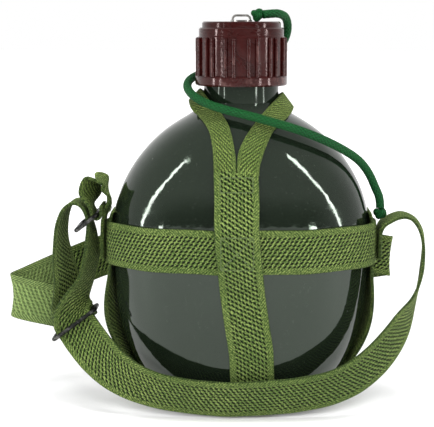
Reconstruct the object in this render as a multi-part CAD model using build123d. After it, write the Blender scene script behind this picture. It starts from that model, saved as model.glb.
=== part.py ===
"""Enamelled oval canteen with a screw cap, carried in a harness of cotton webbing.

Frame: millimetres, +Z up. The origin lies on the resting plane, below the centre of the bottle.
The wide faces of the bottle look along -Y (front) and +Y (back); +X is the side of the cap cord.
"""

from build123d import *
import math
import os

os.makedirs("parts", exist_ok=True)

# ---- driving dimensions ----
WEB = 25.0  # width of the webbing
WEB_T = 1.6  # thickness of the webbing
FIT = 0.25  # gap between layers that touch on the real object
NARROW = 12.5  # width of the two bands round the neck

BODY_W = 150.0  # greatest width of the bottle
BODY_D = 93.0  # greatest depth of the bottle
WALL = 1.2
NECK_R = 21.5
BASE_Z = 2 * (WEB_T + FIT)  # the bottle stands on two crossing straps
SHOULDER_Z = 178.0  # where the shoulder runs into the neck
WELD_Z = 175.0  # where the neck is welded on the body
NECK_TOP_Z = 188.6  # where the plain neck steps in to the thread
LIP_Z = 214.4

THREAD_PITCH = 6.0
THREAD_TURNS = 2
THREAD_Z = 193.5
THREAD_ROOT_R = 19.8
THREAD_HEIGHT = 1.5
THREAD_ROOT_HALF = 1.45  # half width of the ridge where it leaves its wall
THREAD_CREST_HALF = 0.55
MOUTH_R = 18.4

CAP_R = 26.5
CAP_Z = 187.4
CAP_BORE_R = 22.2
CAP_GROOVE_R = 24.8
CAP_RIB_LOW = 192.8
CAP_RIB_TOP = 214.8
CAP_BAND_R = 24.4
CAP_BAND_TOP = 220.2
CAP_DISC_R = 22.6
CAP_TOP_Z = 223.6
CAP_ROOF_Z = 216.4
CAP_BEVEL = 0.8
RIB_PAIRS = 12
RIB_HALF_PITCH = 5.5  # degrees from the middle of a pair to each rib
RIB_R = 1.1
RIB_END = 1.2  # from the middle of a rib's round end up to the band

GASKET_R = CAP_BORE_R - 0.3
GASKET_HOLE_R = 14.0
RIVET_R = 2.0
RIVET_HOLE_R = 2.06
RIVET_TAIL = 2.0  # how far the rivet reaches into the cap
RIVET_FLANGE_R = 6.2
RIVET_FLANGE_T = 0.8
RUN = 0.05  # running gap under the rivet's heads
WASHER_R = 5.0
WASHER_T = 1.0
EYE_WIRE_R = 0.65
EYE_HALF = 5.0
EYE_TOP = 3.4
EYE_BEND_R = 2.2

BELT_Z = 97.0  # middle of the belt
STRAP_END_Z = 140.0  # upper ends of the front and back strap
SIDE_END_Z = 115.0  # upper ends of the side strap
TUCK_Z = 126.5  # lower ends of the neck bands, sewn under the front and back strap
OVER_WEB = WEB_T + 2 * FIT + 0.5  # how far a strap stands off the bottle where it crosses another
BELT_LOW = BELT_Z - WEB / 2
BELT_TOP = BELT_Z + WEB / 2
BELT_RAMP = 9.0  # height in which the front strap comes back from the belt to the bottle
TUCK_RAMP = 3.0
TUCK_REACH_LOW = 46.9  # from the middle plane to the strap's inside over the neck bands
TUCK_REACH_TOP = 43.6
BAND_GAP = 0.4  # from the bottle to a neck band

SLIDE_LONG = 33.0
SLIDE_SHORT = 17.0
SLIDE_CORNER_R = 2.5
SLIDE_WIRE_R = 1.2
SLIDE_BAR_R = 1.05

CORD_D = 4.8
KNOT_R = 3.6
KNOT_CUT = 0.8  # depth of the flat where the cord enters a knot

THREAD_D = 0.8  # sewing thread
STITCH_STEP = 2.9
BOX_HALF = 9.0  # half the width of a sewn box


# ---- bottle ----
BODY_DEPTH_SHARE = (BODY_D / 2 - NECK_R) / (BODY_W / 2 - NECK_R)

# height above the base and half width of the body, from the base to the neck
BODY_OUTLINE = [
    (0.0, 38.0),
    (2.0, 43.5),
    (10.0, 53.0),
    (25.0, 63.5),
    (50.0, 71.9),
    (86.0, 75.0),
    (112.0, 73.4),
    (130.0, 67.0),
    (144.0, 58.0),
    (156.0, 46.5),
    (163.5, 36.0),
    (168.0, 28.5),
    (SHOULDER_Z - BASE_Z, NECK_R),
]


def half_depth(half_width):
    """The body is round at the neck and widens less from front to back than from side to side."""
    return NECK_R + (half_width - NECK_R) * BODY_DEPTH_SHARE


def body_solid(side=0.0, front=0.0, lift=0.0):
    """The bottle's body as one solid, its sections grown by side and front and its base by lift."""
    sections = []
    for height, half_width in BODY_OUTLINE:
        z = BASE_Z + height + (lift if height == 0.0 else 0.0)
        ring = Ellipse(half_width + side, half_depth(half_width) + front)
        sections.append(Pos(0, 0, z) * ring)
    return loft(sections)


def thread(radius, inward, start_z, turns):
    """A trapezoid ridge wound round the axis, standing out of or into a wall at radius."""
    sign = -1.0 if inward else 1.0
    root = radius - sign * 0.4
    crest = radius + sign * THREAD_HEIGHT
    path = Helix(THREAD_PITCH, THREAD_PITCH * turns, radius, center=(0, 0, start_z))
    outline = Polyline(
        (root, start_z - THREAD_ROOT_HALF),
        (crest, start_z - THREAD_CREST_HALF),
        (crest, start_z + THREAD_CREST_HALF),
        (root, start_z + THREAD_ROOT_HALF),
        close=True,
    )
    profile = Plane.XZ * make_face(outline)
    return sweep(profile, path=path, is_frenet=True)


def tube(outer, inner, low, high):
    wall = Cylinder(outer, high - low) - Cylinder(inner, high - low)
    return Pos(0, 0, (low + high) / 2) * wall


def rod(radius, low, high):
    return Pos(0, 0, (low + high) / 2) * Cylinder(radius, high - low)


def inside_of_bottle():
    return body_solid(-WALL, -WALL, WALL) + rod(MOUTH_R, WELD_Z - 3, LIP_Z + 1)


def make_bottle():
    below_weld = Pos(0, 0, WELD_Z - 100) * Box(400, 400, 200)
    return (body_solid() - inside_of_bottle()) & below_weld


def make_neck():
    """The welded neck, with the top of the shoulder, the thread and the lip."""
    above_weld = Pos(0, 0, WELD_Z + 100) * Box(400, 400, 200)
    outer = (body_solid() & above_weld) + rod(NECK_R, SHOULDER_Z - 0.5, NECK_TOP_Z)
    outer += rod(THREAD_ROOT_R, NECK_TOP_Z - 1, LIP_Z)
    outer += thread(THREAD_ROOT_R, False, THREAD_Z, THREAD_TURNS)
    return outer - inside_of_bottle()


# ---- cap ----
def make_cap():
    outline = Polyline(
        (CAP_BORE_R, CAP_Z),
        (CAP_R - CAP_BEVEL / 2, CAP_Z),
        (CAP_R, CAP_Z + CAP_BEVEL),
        (CAP_R, CAP_RIB_LOW - CAP_BEVEL),
        (CAP_R - CAP_BEVEL / 2, CAP_RIB_LOW),
        (CAP_GROOVE_R, CAP_RIB_LOW + CAP_BEVEL / 2),
        (CAP_GROOVE_R, CAP_RIB_TOP),
        (CAP_BAND_R, CAP_RIB_TOP + CAP_BEVEL),
        (CAP_BAND_R, CAP_BAND_TOP - CAP_BEVEL),
        (CAP_BAND_R - CAP_BEVEL, CAP_BAND_TOP),
        (CAP_DISC_R, CAP_BAND_TOP),
        (CAP_DISC_R, CAP_TOP_Z - CAP_BEVEL),
        (CAP_DISC_R - CAP_BEVEL, CAP_TOP_Z),
        (RIVET_HOLE_R, CAP_TOP_Z),
        (RIVET_HOLE_R, CAP_ROOF_Z),
        (CAP_BORE_R, CAP_ROOF_Z),
        close=True,
    )
    cap = revolve(Plane.XZ * make_face(outline), Axis.Z)
    rib = rod(RIB_R, CAP_RIB_LOW - 0.2, CAP_RIB_TOP - RIB_END)
    rib += Pos(0, 0, CAP_RIB_TOP - RIB_END) * Sphere(RIB_R)
    rib = Pos(CAP_R - RIB_R, 0, 0) * rib
    for pair in range(RIB_PAIRS):
        for side in (-1, 1):
            turn = -90 + 360 / RIB_PAIRS * (pair + 0.5) + side * RIB_HALF_PITCH
            cap += Rot(0, 0, turn) * rib
    start = THREAD_Z + THREAD_PITCH / 2
    return cap + thread(CAP_BORE_R, True, start - THREAD_PITCH, THREAD_TURNS)


def make_gasket():
    return tube(GASKET_R, GASKET_HOLE_R, LIP_Z, CAP_ROOF_Z)


def make_rivet():
    """A rivet that turns in the cap, with a low wire eye on its head."""
    head_low = CAP_TOP_Z + RUN
    foot = head_low + RIVET_FLANGE_T / 2
    rivet = rod(RIVET_R, CAP_ROOF_Z - RIVET_TAIL, head_low + 0.1)
    rivet += rod(RIVET_FLANGE_R, head_low, head_low + RIVET_FLANGE_T)
    route = FilletPolyline(
        (-EYE_HALF, 0, foot),
        (-EYE_HALF, 0, head_low + EYE_TOP),
        (EYE_HALF, 0, head_low + EYE_TOP),
        (EYE_HALF, 0, foot),
        radius=EYE_BEND_R,
    )
    wire = sweep(Plane(origin=route @ 0, z_dir=route % 0) * Circle(EYE_WIRE_R), path=route)
    return rivet + wire


def make_rivet_washer():
    """The washer that the rivet is peened over, inside the cap."""
    top = CAP_ROOF_Z - RUN
    return tube(WASHER_R, RIVET_R, top - WASHER_T, top)


# ---- harness fixed on the bottle ----
FRONT_PLANE = Plane(origin=(0, 0, 0), x_dir=(0, 1, 0), z_dir=(1, 0, 0))
SIDE_PLANE = Plane(origin=(0, 0, 0), x_dir=(1, 0, 0), z_dir=(0, -1, 0))


def slab(low, high):
    return Pos(0, 0, (low + high) / 2) * Box(400, 400, high - low)


def make_belt():
    ring = body_solid(OVER_WEB + WEB_T, FIT + WEB_T) - body_solid(OVER_WEB, FIT)
    return ring & slab(BELT_LOW, BELT_TOP)


def hump(plane, low, high, reach_low, reach_high, ramp):
    """A polygon across a body section, which carries a strap out over what it crosses."""
    outline = Polyline(
        (-reach_low, low),
        (-reach_high, high),
        (-reach_high + ramp / 3, high + ramp),
        (reach_high - ramp / 3, high + ramp),
        (reach_high, high),
        (reach_low, low),
        (reach_low - ramp / 3, low - ramp),
        (-reach_low + ramp / 3, low - ramp),
        close=True,
    )
    return plane * make_face(outline)


def wrap(plane, humps, top):
    """A strap as wide as WEB round the body's outline in a plane, below top and over its humps."""
    inner = offset(section(body_solid(), section_by=plane), FIT)
    for face in humps:
        inner += face
    band = offset(inner, WEB_T, kind=Kind.ARC) - inner
    strap = extrude(band, WEB / 2, dir=plane.z_dir, both=True) & slab(-10, top)
    return strap.solids()[0].to_splines()


def make_cradle_strap():
    """The strap down the front, under the base and up the back, over the belt and the neck bands."""
    reach = BODY_D / 2 + OVER_WEB
    over_belt = hump(FRONT_PLANE, BELT_LOW - 0.5, BELT_TOP + 0.5, reach, reach, BELT_RAMP)
    low = TUCK_Z - 0.5
    top = STRAP_END_Z + 1
    over_bands = hump(FRONT_PLANE, low, top, TUCK_REACH_LOW, TUCK_REACH_TOP, TUCK_RAMP)
    return wrap(FRONT_PLANE, [over_belt, over_bands], STRAP_END_Z)


def footed_body(grow, base_z):
    """The body grown all round, with a straight foot from its base down to base_z."""
    half_width = BODY_OUTLINE[0][1]
    foot = Ellipse(half_width + grow, half_depth(half_width) + grow)
    return body_solid(grow, grow) + Pos(0, 0, base_z) * extrude(foot, BASE_Z + 0.2 - base_z)


def make_side_strap():
    """The strap down both sides, under the base and under the cradle strap."""
    shell = footed_body(FIT + WEB_T, 0) - footed_body(FIT, WEB_T)
    return shell & slab(-10, SIDE_END_Z) & Box(400, WEB, 400)


# corners of the right neck band, seen from the front
NECK_BAND_OUTLINE = [
    (0.3, TUCK_Z),
    (0.3 + NARROW, TUCK_Z),
    (0.6 + NARROW, STRAP_END_Z + 2),
    (32.0, 170.5),
    (32.0, 176.0),
    (21.0, 182.5),
    (15.5, 172.0),
    (0.3, STRAP_END_Z + 1),
]


def necked_body(grow):
    """The body and its neck, grown all round."""
    return body_solid(grow, grow) + rod(NECK_R + grow, SHOULDER_Z - 1, CAP_Z)


def make_neck_band(side):
    """A narrow band from under the front strap, round one side of the neck, to the back strap."""
    outline = Polyline(*[(side * x, z) for x, z in NECK_BAND_OUTLINE], close=True)
    prism = extrude(SIDE_PLANE * make_face(outline), 100, both=True)
    return (necked_body(BAND_GAP + WEB_T) - necked_body(BAND_GAP)) & prism


# ---- shoulder strap and its metal ----
def ribbon(stations, width=WEB):
    """Webbing as one ruled solid through its stations.

    A station is (x, y, z), the direction of the webbing's width there and, where it lies
    askew in a slide, the direction square to its section. Elsewhere that is the route's own.
    """
    points = [Vector(*station[0]) for station in stations]
    sections = []
    for index, station in enumerate(stations):
        before = points[max(index - 1, 0)]
        after = points[min(index + 1, len(points) - 1)]
        along = Vector(*station[2]) if len(station) > 2 else after - before
        plane = Plane(origin=station[0], x_dir=station[1], z_dir=along.normalized())
        sections.append(plane * Rectangle(width, WEB_T))
    return loft(sections, ruled=True)


# centre of each station and the direction of the webbing's width there, from the right end of
# the belt, down over the front, up on the left through both slides, and round behind the bottle
SHOULDER_ROUTE = [
    ((80.3, 0, 87.5), (0, -1, 0)),
    ((80.3, 0, 95), (0, -1, 0)),
    ((80.5, 0, 102), (0, -1, 0)),
    ((82.6, 0, 106.8), (0, -1, 0)),
    ((87.0, 0, 109.8), (0, -1, 0)),
    ((92.0, -0.5, 111.8), (0, -1, 0)),
    ((97.0, -1.0, 111.4), (0, -1, 0)),
    ((101.4, -2.0, 108.6), (0, -1, -0.1)),
    ((104.8, -3.5, 102.0), (-0.1, -1, -0.1)),
    ((106.0, -5.5, 91.0), (-0.1, -1, 0)),
    ((104.5, -8.5, 77.5), (-0.1, -1, 0.1)),
    ((100.0, -12.5, 64.0), (-0.2, -0.9, 0.2)),
    ((92.5, -18.0, 50.0), (-0.4, -0.7, 0.5)),
    ((82.5, -25.0, 37.0), (-0.5, -0.6, 0.65)),
    ((69.5, -32.5, 26.5), (-0.4, -0.5, 0.8)),
    ((52.0, -38.5, 19.0), (-0.2, -0.45, 0.87)),
    ((32.0, -41.0, 15.0), (-0.1, -0.42, 0.9)),
    ((10.0, -42.0, 13.2), (0, -0.42, 0.9)),
    ((-12.0, -42.0, 12.8), (0, -0.42, 0.9)),
    ((-34.0, -41.0, 14.5), (0.1, -0.42, 0.9)),
    ((-54.0, -37.5, 18.5), (0.25, -0.35, 0.85)),
    ((-70.0, -31.0, 25.0), (0.45, -0.2, 0.75)),
    ((-82.0, -22.5, 33.0), (0.65, -0.05, 0.7)),
    ((-90.5, -13.0, 40.5), (0.78, 0, 0.6)),
    ((-95.4, -9.0, 46.4), (0.8, 0, 0.6), (-0.6, 0, 0.8)),
    ((-98.0, -8.6, 49.9), (0.8, 0, 0.6), (-0.6, 0, 0.8)),
    ((-98.2, -8.3, 56.0), (0.8, 0.35, 0.35), (-0.3, 0, 0.95)),
    ((-95.0, -7.0, 65.5), (0.6, 0.75, -0.2)),
    ((-90.0, -5.5, 76.0), (0.42, 0.9, -0.1)),
    ((-87.0, -5.0, 88.0), (0.3, 0.95, 0)),
    ((-87.0, -5.0, 99.0), (0.15, 1, 0)),
    ((-88.2, -5.0, 109.0), (0, 1, 0)),
    ((-89.8, -5.0, 115.5), (0, 1, 0)),
    ((-93.0, -5.0, 119.5), (0, 1, 0)),
    ((-97.5, -5.0, 119.8), (0.05, 1, 0)),
    ((-101.5, -5.0, 116.0), (0.1, 1, 0)),
    ((-104.0, -5.0, 108.0), (0.15, 1, 0)),
    ((-105.0, -5.0, 97.0), (0.2, 0.97, 0)),
    ((-104.0, -4.5, 86.0), (0.35, 0.93, 0)),
    ((-102.0, -3.5, 75.0), (0.45, 0.85, 0)),
    ((-101.0, -2.4, 64.5), (0.65, 0.7, 0.1)),
    ((-100.0, -1.7, 57.0), (0.8, 0.3, 0.4), (0.3, 0, -0.95)),
    ((-98.4, -1.4, 50.5), (0.8, 0, 0.6), (0.6, 0, -0.8)),
    ((-96.4, -0.9, 47.8), (0.8, 0, 0.6)),
    ((-95.4, 1.0, 46.3), (0.8, 0, 0.6)),
    ((-95.3, 3.4, 46.2), (0.8, 0, 0.6)),
    ((-96.5, 4.9, 48.0), (0.8, 0, 0.6)),
    ((-99.5, 6.0, 51.6), (0.75, 0.1, 0.65)),
    ((-105.0, 7.0, 54.5), (0.4, 0.1, 0.9)),
    ((-114.0, 5.8, 57.0), (0.2, 0.1, 0.97)),
    ((-124.0, 4.2, 59.5), (0.1, 0.1, 0.98)),
    ((-131.5, 4.4, 61.5), (0.1, 0.1, 0.98)),
    ((-134.6, 7.4, 62.5), (0, 0.1, 0.98)),
    ((-133.6, 11.6, 63.2), (-0.1, 0.1, 0.98)),
    ((-127.0, 16.5, 65.5), (-0.2, 0.05, 0.97)),
    ((-115.0, 25.0, 70.0), (-0.25, 0, 0.95)),
    ((-101.0, 34.5, 75.0), (-0.25, 0, 0.95)),
    ((-84.0, 44.0, 80.5), (-0.2, 0, 0.97)),
    ((-64.0, 51.5, 85.0), (-0.15, 0, 0.98)),
    ((-38.0, 55.0, 88.0), (-0.05, 0, 1)),
    ((-8.0, 56.0, 89.0), (0, 0, 1)),
    ((22.0, 56.0, 88.5), (0.05, 0, 1)),
    ((48.0, 54.5, 86.5), (0.1, 0, 1)),
    ((70.0, 51.0, 83.5), (0.15, 0, 1)),
    ((84.0, 48.0, 81.0), (0.15, 0, 1)),
    ((90.0, 48.4, 79.8), (0.15, 0, 1)),
    ((92.0, 51.6, 79.0), (0.1, 0, 1)),
    ((89.0, 54.6, 78.2), (-0.1, 0, 1)),
    ((80.0, 56.8, 76.5), (-0.15, 0, 1)),
    ((60.0, 60.0, 74.0), (-0.1, 0, 1)),
    ((36.0, 62.0, 72.5), (-0.05, 0, 1)),
    ((10.0, 62.8, 72.0), (0, 0, 1)),
    ((-16.0, 62.5, 72.5), (0.05, 0, 1)),
    ((-40.0, 61.0, 73.5), (0.05, 0, 1)),
]

# the loop that holds the upper slide, from the left end of the belt up, over and round its bar
ANCHOR_ROUTE = [
    ((-80.3, 0, 87.5), (0, 1, 0)),
    ((-80.3, 0, 98), (0, 1, 0)),
    ((-80.1, 0, 109.0), (0, 1, 0)),
    ((-78.9, 0, 112.6), (0, 1, 0)),
    ((-77.9, 0, 117.0), (0.05, 1, 0)),
    ((-77.3, -1, 124), (0.15, 1, 0.05)),
    ((-79.0, -2, 130.5), (0.2, 0.95, 0.1)),
    ((-82.2, -3, 133.0), (0.2, 0.95, 0.1)),
    ((-85.8, -4, 131.0), (0.15, 0.97, 0)),
    ((-87.6, -4.5, 125.0), (0.1, 1, 0)),
    ((-87.0, -5, 118.5), (0, 1, 0)),
    ((-85.4, -5, 113.6), (0, 1, 0)),
    ((-84.4, -5, 112.0), (0, 1, 0)),
    ((-82.8, -5, 111.3), (0, 1, 0)),
    ((-81.2, -5, 112.0), (0, 1, 0)),
    ((-80.3, -5, 113.8), (0, 1, 0)),
    ((-80.3, -5, 118.8), (0, 1, 0)),
]

UPPER_SLIDE_AT = Plane(origin=(-88.5, -5, 109.6), x_dir=(0, 1, 0), z_dir=(-0.61, 0, 0.79))
LOWER_SLIDE_AT = Plane(origin=(-97, -5, 48.6), x_dir=(0.8, 0, 0.6), z_dir=(-0.6, 0, 0.8))


def slide_frame(bars):
    """A bent wire rectangle with its ends brazed, and any bars along its long way."""
    half_long = SLIDE_LONG / 2 - SLIDE_WIRE_R
    half_short = SLIDE_SHORT / 2 - SLIDE_WIRE_R
    rim = RectangleRounded(2 * half_long, 2 * half_short, SLIDE_CORNER_R).wires()[0]
    start = Plane(origin=rim @ 0, z_dir=rim % 0)
    frame = sweep(start * Circle(SLIDE_WIRE_R), path=rim, transition=Transition.ROUND)
    for offset_y in bars:
        frame += Pos(0, offset_y, 0) * Rot(0, 90, 0) * Cylinder(SLIDE_BAR_R, 2 * half_long)
    return frame


def make_upper_slide():
    return UPPER_SLIDE_AT * slide_frame([])


def make_lower_slide():
    return LOWER_SLIDE_AT * slide_frame([0])


# ---- cap cord ----
CORD_END = (12.4, 0, 227.6)
CORD_ROUTE = [
    CORD_END,
    (17.2, 1.6, 228.1),
    (22.0, 5.0, 228.2),
    (26.2, 12.0, 226.0),
    (27.4, 17.2, 219.0),
    (25.0, 21.0, 211.5),
    (19.5, 25.4, 205.5),
    (11.0, 29.2, 201.5),
    (0, 30.8, 198.5),
    (-12.0, 29.0, 195.8),
    (-22.0, 22.8, 193.6),
    (-28.6, 13.2, 191.2),
    (-31.2, 3.0, 188.6),
    (-30.8, -6.5, 185.2),
    (-26.8, -16.0, 181.6),
    (-19.6, -24.4, 178.0),
    (-9.0, -30.4, 175.0),
    (3.5, -33.4, 172.2),
    (17.0, -34.2, 168.6),
    (31.5, -31.6, 164.2),
    (45.5, -25.6, 158.4),
    (57.5, -17.0, 152.0),
    (67.5, -8.0, 145.2),
    (74.0, -2.5, 137.0),
    (78.0, -0.5, 128.0),
    (81.0, 0, 121.5),
    (81.0, 0, 116.2),
]


def make_cap_cord():
    points = [Vector(*point) for point in CORD_ROUTE]
    radii = []
    for before, corner, after in zip(points, points[1:], points[2:]):
        run = min((corner - before).length, (after - corner).length)
        turn = (corner - before).get_angle(after - corner)
        radii.append(0.45 * run / math.tan(math.radians(turn / 2)))
    route = FilletPolyline(*CORD_ROUTE, radius=radii)
    cord = sweep(Plane(origin=route @ 0, z_dir=route % 0) * Circle(CORD_D / 2), path=route)
    share = cord.volume / (math.pi * CORD_D**2 / 4 * route.length)
    print("cord length", round(route.length, 1), "volume share", round(share, 4))
    print("cord radii", [round(radius, 1) for radius in radii])
    return cord


def make_cap_knot():
    """The end of the cord, knotted through the wire eye."""
    end = Vector(*CORD_END)
    knot = Pos(end.X - KNOT_R + KNOT_CUT, end.Y, end.Z - 0.2) * Sphere(KNOT_R)
    outside = Pos(end.X + 10, 0, end.Z) * Box(20, 20, 20)
    return knot - outside


def make_belt_knot():
    end = Vector(*CORD_ROUTE[-1])
    knot = Pos(end.X, end.Y, end.Z - KNOT_R + KNOT_CUT) * Sphere(KNOT_R)
    outside = Pos(end.X, end.Y, end.Z + 10) * Box(20, 20, 20)
    return knot - outside


# ---- sewing ----
def pins(places, direction, depth):
    """Short runs of thread through layers of webbing, one pin at each place."""
    thread_pin = Cylinder(THREAD_D / 2, depth)
    return Compound([Plane(origin=place, z_dir=direction) * thread_pin for place in places])


def box_cross(half_across, half_up):
    """Places on a sewn box with its two diagonals, as (across, up) from its middle."""
    places = []
    across_steps = round(2 * half_across / STITCH_STEP)
    up_steps = round(2 * half_up / STITCH_STEP)
    for step in range(across_steps):
        part = -1 + 2 * step / across_steps
        places += [(half_across * part, -half_up), (-half_across * part, half_up)]
    for step in range(up_steps):
        part = -1 + 2 * step / up_steps
        places += [(-half_across, -half_up * part), (half_across, half_up * part)]
    for step in range(1, up_steps):
        part = -1 + 2 * step / up_steps
        if abs(part) > 0.05:
            places += [(half_across * part, half_up * part), (half_across * part, -half_up * part)]
    return places


def make_belt_stitches(side):
    """Sewing of the cradle strap on the belt; side is -1 at the front and 1 at the back."""
    middle = side * (BODY_D / 2 + OVER_WEB + 0.1)
    places = [(x, middle, BELT_Z + up) for x, up in box_cross(BOX_HALF, BOX_HALF)]
    return pins(places, (0, 1, 0), 2 * WEB_T + 0.4)


def make_end_stitches(side):
    """Sewing of the belt, the side strap and the strap or loop on it; side is 1 at the right."""
    middle = side * 78.7
    places = [(middle, y, BELT_Z - 1.5 + up) for y, up in box_cross(BOX_HALF, 6.0)]
    return pins(places, (1, 0, 0), 5.4)


def make_apex_stitches(side):
    """Sewing of a pair of neck bands under the end of the cradle strap."""
    places = []
    for x, up in box_cross(BOX_HALF, 4.5):
        z = (TUCK_Z + STRAP_END_Z) / 2 + up
        places.append((x, side * (45.6 - 0.22 * (z - 133)), z))
    return pins(places, (0, 1, -side * 0.22), 3.3)


def make_base_stitches():
    places = [(x, y, WEB_T + FIT / 2) for x, y in box_cross(BOX_HALF, BOX_HALF)]
    return pins(places, (0, 0, 1), 2 * WEB_T - 0.4)


def make_anchor_stitches():
    places = [(-79.7, y, z) for y in (-9, -6, -3, 0, 3, 6, 9) for z in (115.6, 117.6)]
    return pins(places, (1, 0, 0), 3.4)


PIECES = {
    "bottle": make_bottle,
    "bottle_neck": make_neck,
    "cap_shell": make_cap,
    "cap_gasket": make_gasket,
    "swivel_rivet": make_rivet,
    "rivet_washer": make_rivet_washer,
    "belt_strap": make_belt,
    "cradle_strap": make_cradle_strap,
    "side_strap": make_side_strap,
    "neck_band_left": lambda: make_neck_band(-1),
    "neck_band_right": lambda: make_neck_band(1),
    "shoulder_strap": lambda: ribbon(SHOULDER_ROUTE),
    "anchor_loop": lambda: ribbon(ANCHOR_ROUTE),
    "upper_slide": make_upper_slide,
    "lower_slide": make_lower_slide,
    "cap_cord": make_cap_cord,
    "cord_cap_knot": make_cap_knot,
    "cord_belt_knot": make_belt_knot,
    "belt_stitches_front": lambda: make_belt_stitches(-1),
    "belt_stitches_back": lambda: make_belt_stitches(1),
    "belt_stitches_left": lambda: make_end_stitches(-1),
    "belt_stitches_right": lambda: make_end_stitches(1),
    "apex_stitches_front": lambda: make_apex_stitches(-1),
    "apex_stitches_back": lambda: make_apex_stitches(1),
    "base_stitches": make_base_stitches,
    "anchor_stitches": make_anchor_stitches,
}

for name, make in PIECES.items():
    export_step(make(), f"parts/{name}.step")
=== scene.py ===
"""Looks of the enamelled canteen: webbing, cord, sewing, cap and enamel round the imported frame."""

import math
import random

import bpy
import numpy as np
from mathutils import Matrix, Vector
from mathutils.bvhtree import BVHTree


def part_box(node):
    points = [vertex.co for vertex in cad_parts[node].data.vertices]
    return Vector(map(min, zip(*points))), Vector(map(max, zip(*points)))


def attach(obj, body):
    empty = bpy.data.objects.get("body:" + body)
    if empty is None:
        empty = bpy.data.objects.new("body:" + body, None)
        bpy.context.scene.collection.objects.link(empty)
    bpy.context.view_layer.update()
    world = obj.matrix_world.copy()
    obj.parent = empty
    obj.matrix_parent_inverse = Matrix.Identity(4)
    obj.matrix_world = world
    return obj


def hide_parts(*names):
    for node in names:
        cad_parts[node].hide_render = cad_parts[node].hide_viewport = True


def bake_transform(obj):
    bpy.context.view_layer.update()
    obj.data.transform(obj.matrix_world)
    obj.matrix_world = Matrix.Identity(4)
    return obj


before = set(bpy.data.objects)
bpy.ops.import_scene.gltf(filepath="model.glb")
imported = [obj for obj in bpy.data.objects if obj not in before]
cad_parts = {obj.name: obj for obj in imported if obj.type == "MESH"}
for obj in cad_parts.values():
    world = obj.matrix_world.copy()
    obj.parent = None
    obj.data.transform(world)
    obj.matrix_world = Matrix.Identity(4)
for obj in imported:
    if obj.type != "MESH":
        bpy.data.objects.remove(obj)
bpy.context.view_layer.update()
random.seed(11)

MM = 0.001
UV_MM = 100.0  # millimetres of cord, thread or webbing in one unit of uv
WEB = 25.0  # width of the webbing
WEB_T = 1.6  # and its thickness
STATION = 0.8  # from one row of points to the next along a strap
SKIN = 0.12  # how far a strap's modelled face stays inside its CAD face
BOTTLE_BODY = "harnessed_bottle"
SWIVEL_BODY = "cap_swivel"


# ---- camera ----
LENS = 114.8
CAMERA_PLACE = (0, -0.8, 0.225)
CAMERA_TILT = math.radians(82.0)
CAMERA_TURN = math.radians(1.0)
camera = bpy.data.objects.new("camera", bpy.data.cameras.new("camera"))
camera.data.lens = LENS
camera.data.sensor_width = 36.0
camera.location = CAMERA_PLACE
camera.rotation_euler = (CAMERA_TILT, 0, CAMERA_TURN)
bpy.context.scene.collection.objects.link(camera)
bpy.context.scene.camera = camera


# ---- node tree helper ----
class Graph:
    """Builds the nodes of a material or world; a socket is linked and a number or colour is set."""

    def __init__(self, name, owners=bpy.data.materials):
        self.owner = owners.new(name)
        self.owner.use_nodes = True
        self.tree = self.owner.node_tree
        self.tree.nodes.clear()

    def put(self, socket, value):
        if isinstance(value, bpy.types.NodeSocket):
            self.tree.links.new(value, socket)
        elif hasattr(socket, "default_value"):
            if socket.type == "RGBA" and len(value) == 3:
                value = (*value, 1.0)
            socket.default_value = value

    def add(self, kind, inputs=None, **settings):
        node = self.tree.nodes.new(kind)
        for key, value in settings.items():
            setattr(node, key, value)
        for key, value in (inputs or {}).items():
            self.put(node.inputs[key], value)
        return node

    def math(self, operation, *values, clamp=False):
        node = self.add("ShaderNodeMath", operation=operation, use_clamp=clamp)
        for index, value in enumerate(values):
            self.put(node.inputs[index], value)
        return node.outputs[0]

    def step(self, value, low, high, to_low=0.0, to_high=1.0):
        node = self.add("ShaderNodeMapRange", interpolation_type="SMOOTHSTEP")
        for key, given in (("Value", value), ("From Min", low), ("From Max", high)):
            self.put(node.inputs[key], given)
        node.inputs["To Min"].default_value = to_low
        node.inputs["To Max"].default_value = to_high
        return node.outputs["Result"]

    def mix(self, share, first, second, blend="MIX"):
        node = self.add("ShaderNodeMix", data_type="RGBA", blend_type=blend)
        self.put(node.inputs[0], share)
        self.put(node.inputs[6], first)
        self.put(node.inputs[7], second)
        return node.outputs[2]

    def noise(self, vector, scale, detail=3.0, roughness=0.5, distortion=0.0):
        node = self.add("ShaderNodeTexNoise", {"Scale": scale, "Detail": detail})
        node.inputs["Roughness"].default_value = roughness
        node.inputs["Distortion"].default_value = distortion
        self.put(node.inputs["Vector"], vector)
        return node.outputs["Fac"]

    def place(self):
        return self.add("ShaderNodeTexCoord").outputs["Object"]

    def finish(self, bump=None, **inputs):
        surface = self.add("ShaderNodeBsdfPrincipled")
        for key, value in inputs.items():
            self.put(surface.inputs[key.replace("_", " ")], value)
        if bump:
            height, distance, strength = bump
            node = self.add("ShaderNodeBump", {"Height": height, "Strength": strength})
            node.inputs["Distance"].default_value = distance
            self.put(surface.inputs["Normal"], node.outputs["Normal"])
        out = self.add("ShaderNodeOutputMaterial")
        self.tree.links.new(surface.outputs[0], out.inputs["Surface"])
        return self.owner


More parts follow.
